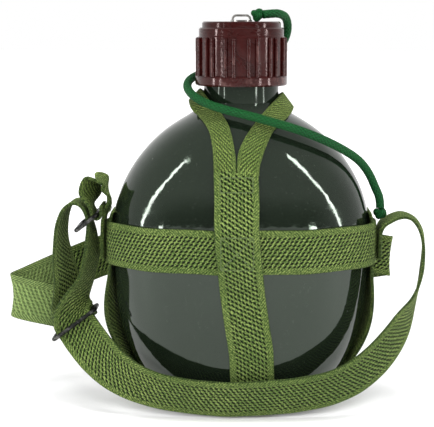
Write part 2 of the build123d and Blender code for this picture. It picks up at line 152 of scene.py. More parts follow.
# ---- cap cord ----
CORD_ROUTE = [
    (12.4, 0, 227.6),
    (17.2, 1.6, 228.1),
    (22.0, 5.0, 228.2),
    (26.2, 12.0, 226.0),
    (27.4, 17.2, 219.0),
    (25.0, 21.0, 211.5),
    (19.5, 25.4, 205.5),
    (11.0, 29.2, 201.5),
    (0, 30.8, 198.5),
    (-12.0, 29.0, 195.8),
    (-22.0, 22.8, 193.6),
    (-28.6, 13.2, 191.2),
    (-31.2, 3.0, 188.6),
    (-30.8, -6.5, 185.2),
    (-26.8, -16.0, 181.6),
    (-19.6, -24.4, 178.0),
    (-9.0, -30.4, 175.0),
    (3.5, -33.4, 172.2),
    (17.0, -34.2, 168.6),
    (31.5, -31.6, 164.2),
    (45.5, -25.6, 158.4),
    (57.5, -17.0, 152.0),
    (67.5, -8.0, 145.2),
    (74.0, -2.5, 137.0),
    (78.0, -0.5, 128.0),
    (81.0, 0, 121.5),
    (81.0, 0, 116.2),
]
CORD_D = 4.8


def nurbs_path(points):
    """Points in millimetres along one smooth NURBS line with these control points."""
    curve = bpy.data.curves.new("path", "CURVE")
    curve.dimensions = "3D"
    curve.resolution_u = 16
    spline = curve.splines.new("NURBS")
    spline.points.add(len(points) - 1)
    for point, (x, y, z) in zip(spline.points, points):
        point.co = (x * MM, y * MM, z * MM, 1.0)
    spline.order_u = 3
    spline.use_endpoint_u = True
    holder = bpy.data.objects.new("path", curve)
    bpy.context.scene.collection.objects.link(holder)
    line = bpy.data.meshes.new_from_object(holder)
    path = np.array([v.co for v in line.vertices], float) / MM
    bpy.data.objects.remove(holder)
    return path


def distances(line):
    """How far along a line each of its points is."""
    return np.r_[0, np.cumsum(np.linalg.norm(np.diff(line, axis=0), axis=1))]


def resample(rows, run, at):
    """Rows that are known at the distances run, read at other distances."""
    return np.stack([np.interp(at, run, column) for column in rows.T], 1)


def evenly(path, step):
    """The path sampled again at an even step, and the distance of each sample along it."""
    run = distances(path)
    along = np.linspace(0, run[-1], max(int(run[-1] / step), 8) + 1)
    return resample(path, run, along), along


def frames(path):
    """Two directions across the path at each point, carried along it without twist."""
    ahead = np.gradient(path, axis=0)
    ahead /= np.linalg.norm(ahead, axis=1)[:, None]
    first = np.cross(ahead[0], (0.3, 0.2, 1.0))
    across = [first / np.linalg.norm(first)]
    for direction in ahead[1:]:
        side = across[-1] - direction * (across[-1] @ direction)
        across.append(side / np.linalg.norm(side))
    across = np.array(across)
    return across, np.cross(ahead, across)


def make_mesh(name, vertices, faces, uvs, material):
    """A smooth mesh object from vertices in millimetres; uvs has one pair for each face corner."""
    mesh = bpy.data.meshes.new(name)
    mesh.from_pydata((np.asarray(vertices) * MM).tolist(), [], faces)
    mesh.polygons.foreach_set("use_smooth", [True] * len(faces))
    layer = mesh.uv_layers.new(name="run")
    layer.data.foreach_set("uv", np.asarray(uvs, np.float32).ravel())
    mesh.materials.append(material)
    mesh.update()
    made = bpy.data.objects.new(name, mesh)
    bpy.context.scene.collection.objects.link(made)
    return made


def tube_parts(path, radius, sides, step, height=None, taper=0.0):
    """Vertices, faces and corner uvs of a round tube; height(angle, along) lifts its surface."""
    path, along = evenly(path, step)
    across, up = frames(path)
    angle = np.linspace(0, 2 * math.pi, sides, endpoint=False)
    reach = np.full((len(path), sides), float(radius))
    if height is not None:
        reach += height(angle[None, :], along[:, None])
    if taper:
        end = np.minimum(along, along[-1] - along) / taper
        reach *= np.sqrt(np.clip(1 - (1 - np.clip(end, 0, 1)) ** 2, 0.02, 1))[:, None]
    ring = np.cos(angle)[None, :, None] * across[:, None, :]
    ring = ring + np.sin(angle)[None, :, None] * up[:, None, :]
    points = path[:, None, :] + ring * reach[:, :, None]
    count = len(path)
    faces, uvs = [], []
    for i in range(count - 1):
        for j in range(sides):
            k = (j + 1) % sides
            faces.append((i * sides + j, i * sides + k, (i + 1) * sides + k, (i + 1) * sides + j))
            low, high = j / sides, (j + 1) / sides
            a, b = along[i] / UV_MM, along[i + 1] / UV_MM
            uvs += [(a, low), (a, high), (b, high), (b, low)]
    faces.append(tuple(reversed(range(sides))))
    faces.append(tuple((count - 1) * sides + j for j in range(sides)))
    uvs += [(0.0, 0.0)] * sides + [(along[-1] / UV_MM, 0.0)] * sides
    return points.reshape(-1, 3), faces, uvs


def gather(parts):
    """Several tubes as the vertices, faces and corner uvs of one mesh."""
    vertices, faces, uvs = [], [], []
    for points, some_faces, some_uvs in parts:
        start = sum(len(block) for block in vertices)
        vertices.append(points)
        faces += [tuple(start + index for index in face) for face in some_faces]
        uvs += some_uvs
    return np.concatenate(vertices), faces, uvs


BRAID_STRANDS = 8
BRAID_PITCH = 2.9
BRAID_RELIEF = 0.22
BRAID_SINK = 0.16  # keeps the strands' crests at about the cord's own radius


def braid_height(angle, along):
    """Strands that wind both ways round the cord, over and under each other."""
    turn = BRAID_STRANDS * angle / (2 * math.pi)
    one = turn + along / BRAID_PITCH
    two = turn - along / BRAID_PITCH
    over = np.sin(math.pi * one) * np.sin(math.pi * two)
    ridge_one = np.abs(np.cos(math.pi * one)) ** 0.7
    ridge_two = np.abs(np.cos(math.pi * two)) ** 0.7
    return BRAID_RELIEF * np.where(over > 0, ridge_one, ridge_two) - BRAID_SINK


def cord_material():
    g = Graph("braided_cord")
    run = g.add("ShaderNodeUVMap", uv_map="run").outputs[0]
    parts = g.add("ShaderNodeSeparateXYZ", {0: run})
    along = g.math("MULTIPLY", parts.outputs[0], UV_MM / BRAID_PITCH)
    turn = g.math("MULTIPLY", parts.outputs[1], float(BRAID_STRANDS))
    one = g.math("MULTIPLY", g.math("ADD", turn, along), math.pi)
    two = g.math("MULTIPLY", g.math("SUBTRACT", turn, along), math.pi)
    over = g.math("MULTIPLY", g.math("SINE", one), g.math("SINE", two))
    first = g.math("ABSOLUTE", g.math("COSINE", one))
    second = g.math("ABSOLUTE", g.math("COSINE", two))
    pick = g.math("GREATER_THAN", over, 0.0)
    ridge = g.math("ADD", g.math("MULTIPLY", first, pick),
                   g.math("MULTIPLY", second, g.math("SUBTRACT", 1.0, pick)))
    fibre_run = g.add("ShaderNodeMapping", {0: run, "Scale": (UV_MM, 40.0, 1.0)}).outputs[0]
    fibre = g.noise(fibre_run, 3.0, 4.0, 0.7)
    patch = g.noise(g.place(), 45.0, 2.0)
    # Painted shade: the cord is drawn near black between its strands.
    colour = g.mix(g.step(ridge, 0.05, 0.75), (0.0004, 0.004, 0.0012), (0.0035, 0.062, 0.014))
    colour = g.mix(g.step(fibre, 0.5, 0.7, 0.0, 0.6), colour, (0.018, 0.15, 0.042))
    colour = g.mix(g.step(patch, 0.35, 0.7, 0.0, 0.35), colour, (0.006, 0.07, 0.012))
    height = g.math("ADD", ridge, g.math("MULTIPLY", fibre, 0.5))
    return g.finish(
        (height, 0.00035, 0.8),
        Base_Color=colour,
        Roughness=g.step(fibre, 0.3, 0.7, 0.55, 0.8),
        Specular_IOR_Level=0.2,
        Sheen_Weight=0.03,
        Sheen_Roughness=0.4,
        Sheen_Tint=(0.2, 0.5, 0.25),
    )


cord_look = cord_material()
cord_path = nurbs_path(CORD_ROUTE)
cord = make_mesh("cap_cord_braid", *tube_parts(cord_path, CORD_D / 2, 40, 0.45, braid_height),
                 cord_look)


def knot_parts(middle, size, radius, lean):
    """A cord drawn up into a small overhand knot round a point."""
    turn = np.linspace(0, 2 * math.pi, 90, endpoint=False)
    loop = np.stack([
        np.sin(turn) + 2 * np.sin(2 * turn),
        np.cos(turn) - 2 * np.cos(2 * turn),
        -1.5 * np.sin(3 * turn),
    ], 1) * (size / 3)
    c, s = math.cos(lean), math.sin(lean)
    tilted = np.stack([loop[:, 0], c * loop[:, 1] - s * loop[:, 2],
                       s * loop[:, 1] + c * loop[:, 2]], 1)
    path = np.concatenate([tilted, tilted[:2]]) + np.asarray(middle)
    return tube_parts(path, radius, 20, 0.4, lambda a, l: 0.55 * braid_height(a, l))


def node_middle(name):
    low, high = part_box(name)
    return np.array((low + high) / 2) / MM


cap_knot = make_mesh("cap_cord_knot",
                     *knot_parts(node_middle("cord_cap_knot"), 2.3, 1.75, 1.1), cord_look)
belt_knot = make_mesh("belt_cord_knot",
                      *knot_parts(node_middle("cord_belt_knot"), 2.4, 1.8, 0.3), cord_look)
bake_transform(cord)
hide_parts("cap_cord")
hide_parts("cord_cap_knot")
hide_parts("cord_belt_knot")
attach(cap_knot, SWIVEL_BODY)
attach(belt_knot, BOTTLE_BODY)


# ---- webbing ----
HOLE_ALONG = 2.75  # spacing of the holes along the webbing
HOLE_ACROSS = 2.0  # and across it
HOLE_LONG = 1.3
HOLE_WIDE = 0.58
LEAN = math.radians(34)  # of each hole from the webbing's length
EDGE_ZONE = 8.7  # from the middle of the webbing to its close-woven edges
EDGE_BLEND = 0.4
CHEVRON = 1.75  # spacing of the ribs in those edges
CHEVRON_SLOPE = 1.1
WEFT_PITCH = 0.82
WARP_PITCH = 0.72
RELIEF = 0.16  # how far the weave stands out
TAIL_X = (-0.113, -0.106)  # webbing left of here, in metres, is closer woven and painted paler: painted light on the hanging tail


def weave(along, across):
    """Height of the woven face from 0, in a hole, to 1, on a yarn; both in millimetres."""
    row = np.floor(across / HOLE_ACROSS + 0.5)
    u = (along / HOLE_ALONG + 0.5 * np.mod(row, 2) + 0.5) % 1.0 - 0.5
    v = (across / HOLE_ACROSS + 0.5) % 1.0 - 0.5
    u, v = u * HOLE_ALONG, v * HOLE_ACROSS
    a = u * math.cos(LEAN) + v * math.sin(LEAN)
    b = v * math.cos(LEAN) - u * math.sin(LEAN)
    hole = np.clip((np.hypot(a / HOLE_LONG, b / HOLE_WIDE) - 0.5) / 0.7, 0, 1)
    chevron = 0.5 + 0.5 * np.cos(2 * math.pi * (along + CHEVRON_SLOPE * np.abs(across)) / CHEVRON)
    edge = np.clip((np.abs(across) - EDGE_ZONE + EDGE_BLEND) / (2 * EDGE_BLEND), 0, 1)
    return hole * (1 - edge) + (0.4 + 0.6 * chevron) * edge


def webbing_material(name, openness, chevron_low, tint=(1.0, 1.0, 1.0)):
    """Olive cotton webbing: close-woven edges and an open twill middle; uv is in 100 mm."""
    g = Graph(name)
    run = g.add("ShaderNodeUVMap", uv_map="run").outputs[0]
    wobble = g.add("ShaderNodeTexNoise", {"Vector": run, "Scale": 14.0, "Detail": 2.0})
    shift = g.add("ShaderNodeVectorMath", {0: wobble.outputs["Color"], 1: (0.5, 0.5, 0.5)},
                  operation="SUBTRACT")
    small = g.add("ShaderNodeVectorMath", {0: shift.outputs[0]}, operation="SCALE")
    small.inputs["Scale"].default_value = 0.012
    moved = g.add("ShaderNodeVectorMath", {0: run, 1: small.outputs[0]}, operation="ADD")
    parts = g.add("ShaderNodeSeparateXYZ", {0: moved.outputs[0]})
    along = g.math("MULTIPLY", parts.outputs[0], UV_MM)
    across = g.math("MULTIPLY", parts.outputs[1], UV_MM)

    rows = g.math("ADD", g.math("DIVIDE", across, HOLE_ACROSS), 0.5)
    odd = g.math("MULTIPLY", g.math("FLOORED_MODULO", g.math("FLOOR", rows), 2.0), 0.5)
    u = g.math("ADD", g.math("ADD", g.math("DIVIDE", along, HOLE_ALONG), odd), 0.5)
    u = g.math("MULTIPLY", g.math("SUBTRACT", g.math("FLOORED_MODULO", u, 1.0), 0.5), HOLE_ALONG)
    v = g.math("SUBTRACT", g.math("FLOORED_MODULO", rows, 1.0), 0.5)
    v = g.math("MULTIPLY", v, HOLE_ACROSS)
    c, s = math.cos(LEAN), math.sin(LEAN)
    a = g.math("ADD", g.math("MULTIPLY", u, c), g.math("MULTIPLY", v, s))
    b = g.math("SUBTRACT", g.math("MULTIPLY", v, c), g.math("MULTIPLY", u, s))
    a = g.math("DIVIDE", a, HOLE_LONG)
    b = g.math("DIVIDE", b, HOLE_WIDE)
    far = g.math("SQRT", g.math("ADD", g.math("MULTIPLY", a, a), g.math("MULTIPLY", b, b)))
    hole = g.step(far, 0.72, 1.22)

    out = g.math("ABSOLUTE", across)
    bent = g.math("ADD", along, g.math("MULTIPLY", out, CHEVRON_SLOPE))
    chevron = g.math("COSINE", g.math("MULTIPLY", bent, 2 * math.pi / CHEVRON))
    chevron = g.step(chevron, -0.7, 0.4, chevron_low, 1.0)
    edge = g.step(out, EDGE_ZONE - EDGE_BLEND, EDGE_ZONE + EDGE_BLEND)
    side = g.add("ShaderNodeSeparateXYZ", {0: g.place()}).outputs[0]
    tail = g.step(side, *TAIL_X, 1.0, 0.0)
    open_here = g.math("MULTIPLY_ADD", tail, -0.4, openness)
    middle = g.math("MULTIPLY_ADD", g.math("SUBTRACT", hole, 1.0), open_here, 1.0)
    inside = g.math("MULTIPLY", middle, g.math("SUBTRACT", 1.0, edge))
    cloth = g.math("ADD", inside, g.math("MULTIPLY", chevron, edge))

    yarn_run = g.add("ShaderNodeMapping", {0: moved.outputs[0]})
    yarn_run.inputs["Scale"].default_value = (UV_MM, UV_MM, 1.0)
    yarn_run.inputs["Rotation"].default_value = (0, 0, -LEAN)
    weft = g.math("SINE", g.math("MULTIPLY", along, 2 * math.pi / WEFT_PITCH))
    warp = g.math("SINE", g.math("MULTIPLY", across, 2 * math.pi / WARP_PITCH))
    yarn = g.math("MULTIPLY_ADD", g.math("MULTIPLY", weft, warp), 0.5, 0.5)
    fibre = g.noise(yarn_run.outputs[0], 0.95, 4.0, 0.75)
    fade = g.noise(g.place(), 22.0, 3.0)
    blotch = g.noise(run, 9.0, 2.0)

    strand = g.step(fibre, 0.41, 0.61)
    base = g.mix(strand, (0.036, 0.084, 0.009), (0.355, 0.46, 0.13))
    # Painted shade: darker where the woven yarns dip.
    base = g.mix(g.step(yarn, 0.12, 0.5, 0.7, 0.0), base, (0.012, 0.036, 0.004))
    base = g.mix(g.step(fade, 0.35, 0.7, 0.0, 0.35), base, (0.045, 0.1, 0.014))
    base = g.mix(g.step(blotch, 0.55, 0.8, 0.0, 0.2), base, (0.15, 0.235, 0.075))
    # Painted light: the hanging tail is drawn paler.
    base = g.mix(g.math("MULTIPLY", tail, 0.35), base, (0.36, 0.5, 0.19))
    # Painted shade: the holes and the dips between the edge ribs are drawn near black.
    colour = g.mix(cloth, (0.001, 0.0035, 0.0006), base)
    # Painted shade: a dark line along both edges of the strap.
    rim = g.step(out, WEB / 2 - 0.55, WEB / 2 - 0.1, 0.0, 0.75)
    colour = g.mix(rim, colour, (0.012, 0.026, 0.005))
    colour = g.mix(1.0, colour, tint, "MULTIPLY")
    height = g.math("MULTIPLY_ADD", yarn, 0.3, cloth)
    height = g.math("MULTIPLY_ADD", fibre, 0.35, height)
    return g.finish(
        (height, 0.0008, 1.0),
        Base_Color=colour,
        Roughness=g.step(cloth, 0.0, 1.0, 0.97, 0.86),
        Specular_IOR_Level=0.25,
        Sheen_Weight=0.05,
        Sheen_Roughness=0.5,
        Sheen_Tint=(0.75, 0.9, 0.45),
    )


web_open = webbing_material("webbing_open", 0.97, 0.42)
web_close = webbing_material("webbing_close", 0.85, 0.3, (1.12, 1.1, 1.03))


def columns(width):
    """Places across a strap, closer together at its rounded edges."""
    half = width / 2
    inner = np.linspace(-half + 1.0, half - 1.0, int(width / 0.75))
    rim = half - np.array([0.0, 0.06, 0.22, 0.5])
    return np.r_[-rim, inner, rim[::-1]]


def waves(along, seed, length):
    """A slow even wander along a strap, from -1 to 1."""
    pick = np.random.default_rng(seed)
    total = np.zeros_like(along)
    for share in (1.0, 0.57, 0.31):
        total += share * np.sin(2 * math.pi * along / (length * share) + pick.uniform(0, 6.28))
    return total / 1.9


def cloth_mesh(name, node, grid, normals, along, across, material, closed=False):
    """Webbing of real thickness, in place of a node, round a grid of points on its middle surface.

    grid and normals are rows along the strap by places across it, in millimetres.
    """
    half = np.abs(across).max()
    near_edge = np.clip((np.abs(across) - (half - WEB_T / 2)) / (WEB_T / 2), 0, 1)
    full = WEB_T / 2 * np.sqrt(1 - near_edge**2)
    scale = WEB / (2 * half)
    face = RELIEF * (weave(along[:, None], across[None, :] * scale) - 0.6) * (full / full.max())
    top = grid + normals * (full + face)[:, :, None]
    bottom = grid - normals * (full + face)[:, :, None]
    points = np.concatenate([top, bottom[:, -2:0:-1]], axis=1)
    rows, ring = points.shape[:2]
    places = np.r_[across, across[-2:0:-1]] * scale / UV_MM
    last_gap = np.linalg.norm(grid[0] - grid[-1], axis=1).mean()
    ends = np.r_[along, along[-1] + last_gap] / UV_MM
    faces, uvs = [], []
    for i in range(rows if closed else rows - 1):
        i_next = (i + 1) % rows
        for j in range(ring):
            k = (j + 1) % ring
            faces.append((i * ring + j, i_next * ring + j, i_next * ring + k, i * ring + k))
            uvs += [(ends[i], places[j]), (ends[i + 1], places[j]),
                    (ends[i + 1], places[k]), (ends[i], places[k])]
    if not closed:
        count = len(across)
        for i in (0, rows - 1):
            for j in range(count - 1):
                low = i * ring + (ring - j) % ring
                low_next = i * ring + (ring - j - 1 if j < count - 2 else count - 1)
                quad = (i * ring + j, i * ring + j + 1, low_next, low)
                quad = tuple(dict.fromkeys(quad if i == 0 else quad[::-1]))
                faces.append(quad)
                uvs += [(ends[i], places[index % ring]) for index in quad]
    piece = make_mesh(name, points.reshape(-1, 3), faces, uvs, material)
    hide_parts(node)
    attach(piece, BOTTLE_BODY)
    return piece


def node_surface(*names):
    """One surface, in millimetres, to cast rays at; it holds the named CAD nodes."""
    vertices, faces = [], []
    for name in names:
        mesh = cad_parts[name].data
        start = len(vertices)
        vertices += [v.co / MM for v in mesh.vertices]
        faces += [tuple(start + index for index in p.vertices) for p in mesh.polygons]
    return BVHTree.FromPolygons(vertices, faces)


def piece_surface(piece):
    return BVHTree.FromPolygons([v.co / MM for v in piece.data.vertices],
                                [tuple(p.vertices) for p in piece.data.polygons])


def hit(surface, start, toward):
    """Where a ray first meets a surface, and the surface's direction there."""
    place, normal, _, _ = surface.ray_cast(Vector(start), Vector(toward).normalized())
    return place, normal


def grid_normals(grid, closed=False, outward=None):
    """Directions square to a grid of points, on the side of outward."""
    if closed:
        ahead = np.roll(grid, -1, axis=0) - np.roll(grid, 1, axis=0)
    else:
        ahead = np.gradient(grid, axis=0)
    side = np.gradient(grid, axis=1)
    normal = np.cross(ahead, side)
    normal /= np.linalg.norm(normal, axis=2)[:, :, None]
    if outward is not None:
        normal *= np.sign((normal * outward).sum(axis=2))[:, :, None]
    return normal


bottle_surface = node_surface("bottle", "bottle_neck")
belt_low, belt_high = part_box("belt_strap")
BELT_Z = (belt_low.z + belt_high.z) / 2 / MM


# ---- belt ----
BELT_PROBES = (-11.5, 0.0, 11.5)  # heights, from the belt's middle, where rays find the CAD belt
BELT_ROWS = 520


def make_belt():
    surface = node_surface("belt_strap")
    half = np.array((belt_high - belt_low) / 2) / MM
    turn = np.linspace(0, 2 * math.pi, 4001)
    outline = np.stack([half[0] * np.cos(turn), half[1] * np.sin(turn)], 1)
    run = distances(outline)
    stations = np.interp(np.linspace(0, run[-1], BELT_ROWS, endpoint=False), run, turn)
    across = columns(WEB)
    grid = np.zeros((len(stations), len(across), 3))
    for i, angle in enumerate(stations):
        out = Vector((half[0] * math.cos(angle), half[1] * math.sin(angle), 0))
        ends = []
        for z in BELT_PROBES:
            place, _ = hit(surface, out * 1.6 + Vector((0, 0, BELT_Z + z)), -out)
            ends.append(math.hypot(place.x, place.y))
        fit = np.polyfit(BELT_PROBES, ends, 2)
        reach = np.polyval(fit, across)
        grid[i, :, :2] = reach[:, None] * np.array(out.normalized())[None, :2]
        grid[i, :, 2] = BELT_Z + across
    along = np.linspace(0, run[-1], len(stations), endpoint=False)
    wander = 0.25 * np.sin(along * 2 * math.pi / run[-1] * 9 + 1.0)
    grid[:, :, 2] += wander[:, None]
    outward = grid * np.array((1, 1, 0))
    normals = grid_normals(grid, True, outward)
    grid -= normals * (WEB_T / 2 + SKIN)
    cloth_mesh("belt_webbing", "belt_strap", grid, normals, along, across, web_open, closed=True)


# ---- strap down the front, under the base and up the back ----
FAR = 300.0  # from where rays are cast at the bottle and its straps
CRADLE_CENTRE = (0, 0, 92.0)
CRADLE_TOP_Z = 142.5
# height, and x of the strap's middle there, on the front
STRAP_MIDDLE = [(0, 7.0), (18, 7.0), (37, 6.0), (61, 2.8), (84.5, -0.1), (109, -2.4), (200, -2.4)]


def smooth(values, passes):
    """Values drawn towards the mean of their neighbours; the two ends stay."""
    values = values.copy()
    for _ in range(passes):
        middle = (values[:-2] + values[2:]) / 2
        values[1:-1] = values[1:-1] * 0.5 + middle * 0.5
    return values


def turned_out(normals, line, centre):
    """The normals of a line as unit directions that point away from centre."""
    normals = normals / np.linalg.norm(normals, axis=1)[:, None]
    return normals * np.sign((normals * (line - centre)).sum(axis=1))[:, None]


def cradle_profile():
    """The strap's outer line in the plane across the front, from the front top to the back top."""
    surface = node_surface("cradle_strap")
    points = []
    for angle in np.linspace(math.radians(54), math.radians(-234), 760):
        out = Vector((0, -math.cos(angle), math.sin(angle)))
        start = Vector(CRADLE_CENTRE) + out * FAR
        place, _ = hit(surface, start, -out)
        near, normal = hit(bottle_surface, start, -out)
        free = near + normal * (WEB_T + 0.55)
        if place is None:
            point = free
        else:
            share = min(max((free.z - 117) / 9, 0), 1)
            point = place.lerp(free, share)
        points.append(point)
    line = np.array([p for p in points if p.z < CRADLE_TOP_Z])
    line, along = evenly(smooth(line, 6), STATION)
    return smooth(line, 4), along


def make_cradle():
    line, along = cradle_profile()
    across = columns(WEB)
    ahead = np.gradient(line, axis=0)
    normal = np.stack([np.zeros(len(line)), ahead[:, 2], -ahead[:, 1]], 1)
    normal = turned_out(normal, line, CRADLE_CENTRE)
    front = np.clip(-line[:, 1] / 30, 0, 1)
    heights, shifts = zip(*STRAP_MIDDLE)
    middle = np.interp(line[:, 2], heights, shifts) * front
    middle += 2.0 * (1 - front) * np.clip(-line[:, 1] / 30 + 1, 0, 1)
    middle = smooth(middle, 30)
    middle += 0.3 * waves(along, 5, 70)
    slope = np.gradient(middle) / np.maximum(np.gradient(along), 1e-6)
    grid = np.zeros((len(line), len(across), 3))
    grid[:, :, 0] = middle[:, None] + across[None, :] / np.sqrt(1 + slope**2)[:, None]
    step = ahead / np.linalg.norm(ahead, axis=1)[:, None]
    skew = -across[None, :] * slope[:, None] / np.sqrt(1 + slope**2)[:, None]
    conform = 0.45 * (across / (WEB / 2)) ** 2
    inset = WEB_T / 2 + 0.1 + conform
    base = line[:, None, :] - normal[:, None, :] * inset[None, :, None]
    grid[:, :, 1:] = base[:, :, 1:] + (skew[:, :, None] * step[:, None, :])[:, :, 1:]
    grid[:, :, 2] = np.maximum(grid[:, :, 2], WEB_T / 2 + SKIN)
    normals = grid_normals(grid, outward=normal[:, None, :])
    return cloth_mesh("cradle_webbing", "cradle_strap", grid, normals, along, across, web_open)


# ---- strap down both sides and under the base ----
SIDE_CENTRE = (0, 0, 80.0)


def make_side():
    surface = node_surface("side_strap")
    middle = Vector(SIDE_CENTRE)
    points = []
    for angle in np.linspace(math.radians(28), math.radians(-208), 640):
        out = Vector((-math.cos(angle), 0, math.sin(angle)))
        place, _ = hit(surface, middle + out * FAR, -out)
        if place is not None and (place - middle).dot(out) > 0:
            points.append(place)
    line, along = evenly(smooth(np.array(points), 8), STATION)
    line = smooth(line, 4)
    ahead = np.gradient(line, axis=0)
    normal = np.stack([ahead[:, 2], np.zeros(len(line)), -ahead[:, 0]], 1)
    normal = turned_out(normal, line, SIDE_CENTRE)
    z = line[:, 2]
    slack = np.sin(np.pi * np.clip((84.0 - z) / 62.0, 0, 1)) ** 1.3
    line = smooth(line - normal * (WEB_T / 2 + 0.1), 6)
    across = columns(WEB)
    front_edge = 0.5 - across / WEB
    bulge = (np.where(line[:, 0] < 0, 5.6, 3.0) * slack)[:, None] * front_edge[None, :] ** 1.4
    grid = line[:, None, :] + normal[:, None, :] * bulge[:, :, None]
    lean = np.where(line[:, 0] < 0, -1.5, -0.5) * slack
    grid[:, :, 1] += across[None, :] + lean[:, None]
    normals = grid_normals(grid, outward=normal[:, None, :])
    cloth_mesh("side_webbing", "side_strap", grid, normals, along, across, web_open)


# ---- bands round the neck ----
# each row: inner edge (x, z), outer edge (x, z), and y of both where they pass the neck
BAND_RIGHT = [
    ((-2.3, 139.5), (10.2, 139.5), None, None),
    ((-2.2, 147.0), (10.4, 144.0), None, None),
    ((-1.2, 153.0), (12.5, 151.0), None, None),
    ((1.9, 159.5), (15.0, 157.5), None, None),
    ((6.6, 166.2), (18.2, 163.0), None, None),
    ((11.8, 172.4), (23.7, 167.6), None, None),
    ((18.5, 179.0), (28.0, 171.4), -14.2, -13.5),
    ((22.4, 182.4), (29.6, 173.6), -5.0, -5.5),
    ((23.3, 183.2), (30.0, 174.2), 0.0, 0.0),
]
BAND_LEFT = [
    ((-2.6, 139.5), (-15.0, 139.5), None, None),
    ((-2.7, 147.0), (-15.3, 146.0), None, None),
    ((-3.9, 155.2), (-15.9, 154.0), None, None),
    ((-5.4, 162.0), (-17.4, 161.5), None, None),
    ((-7.6, 167.8), (-20.4, 166.6), None, None),
    ((-12.6, 174.5), (-25.0, 170.8), None, None),
    ((-18.8, 180.6), (-28.4, 174.6), -13.8, -14.5),
    ((-22.3, 184.4), (-29.8, 177.4), -5.0, -6.0),
    ((-23.2, 185.2), (-30.0, 178.0), 0.0, 0.0),
]


BAND_LIFT = 1.4  # of a band's middle surface from the bottle's front


def front_of(x, z):
    """Where the bottle's front is, as y."""
    place, _ = hit(bottle_surface, (x, -200, z), (0, 1, 0))
    return place.y


def spline_rows(rows, count):
    """Rows of points joined by a smooth line through each column of points."""
    rows = np.asarray(rows, float)
    t = np.linspace(0, len(rows) - 1, count)
    i = np.clip(t.astype(int), 0, len(rows) - 2)
    f = (t - i)[:, None]
    padded = np.concatenate([[2 * rows[0] - rows[1]], rows, [2 * rows[-1] - rows[-2]]])
    a, b, c, d = padded[i], padded[i + 1], padded[i + 2], padded[i + 3]
    return 0.5 * (2 * b + (c - a) * f + (2 * a - 5 * b + 4 * c - d) * f**2
                  + (3 * b - a - 3 * c + d) * f**3)


def push_out(grid, surface, gap):
    """Moves points that lie nearer to a surface than gap out to it."""
    flat = grid.reshape(-1, 3)
    for index, point in enumerate(flat):
        near, normal, _, _ = surface.find_nearest(Vector(point))
        away = (Vector(point) - near).dot(normal)
        if away < gap:
            flat[index] = np.array(Vector(point) + normal * (gap - away))
    return flat.reshape(grid.shape)


def make_band(name, node, table):
    front = []
    for (xi, zi), (xo, zo), yi, yo in table:
        yi = front_of(xi, zi) - BAND_LIFT if yi is None else yi
        yo = front_of(xo, zo) - BAND_LIFT if yo is None else yo
        front.append([xi, yi, zi, xo, yo, zo])
    back = [[r[0], -r[1], r[2], r[3], -r[4], r[5]] for r in front[-2::-1]]
    dense = spline_rows(front + back, 900)
    centre = (dense[:, :3] + dense[:, 3:]) / 2
    run = distances(centre)
    pick = np.linspace(0, run[-1], len(evenly(centre, STATION)[0]))
    inner = resample(dense[:, :3], run, pick)
    outer = resample(dense[:, 3:], run, pick)
    across = columns(WEB / 2)
    share = across / (WEB / 2) + 0.5
    grid = inner[:, None, :] * (1 - share)[None, :, None] + outer[:, None, :] * share[None, :, None]
    grid = push_out(grid, bottle_surface, WEB_T / 2 + 0.45)
    for _ in range(3):
        grid[1:-1] = grid[1:-1] * 0.5 + (grid[:-2] + grid[2:]) * 0.25
    outward = grid - np.array((0, 0, 120.0))
    normals = grid_normals(grid, outward=outward)
    cloth_mesh(name, node, grid, normals, pick, across, web_close)


make_belt()
cradle = make_cradle()
make_side()
make_band("neck_webbing_right", "neck_band_right", BAND_RIGHT)
make_band("neck_webbing_left", "neck_band_left", BAND_LEFT)


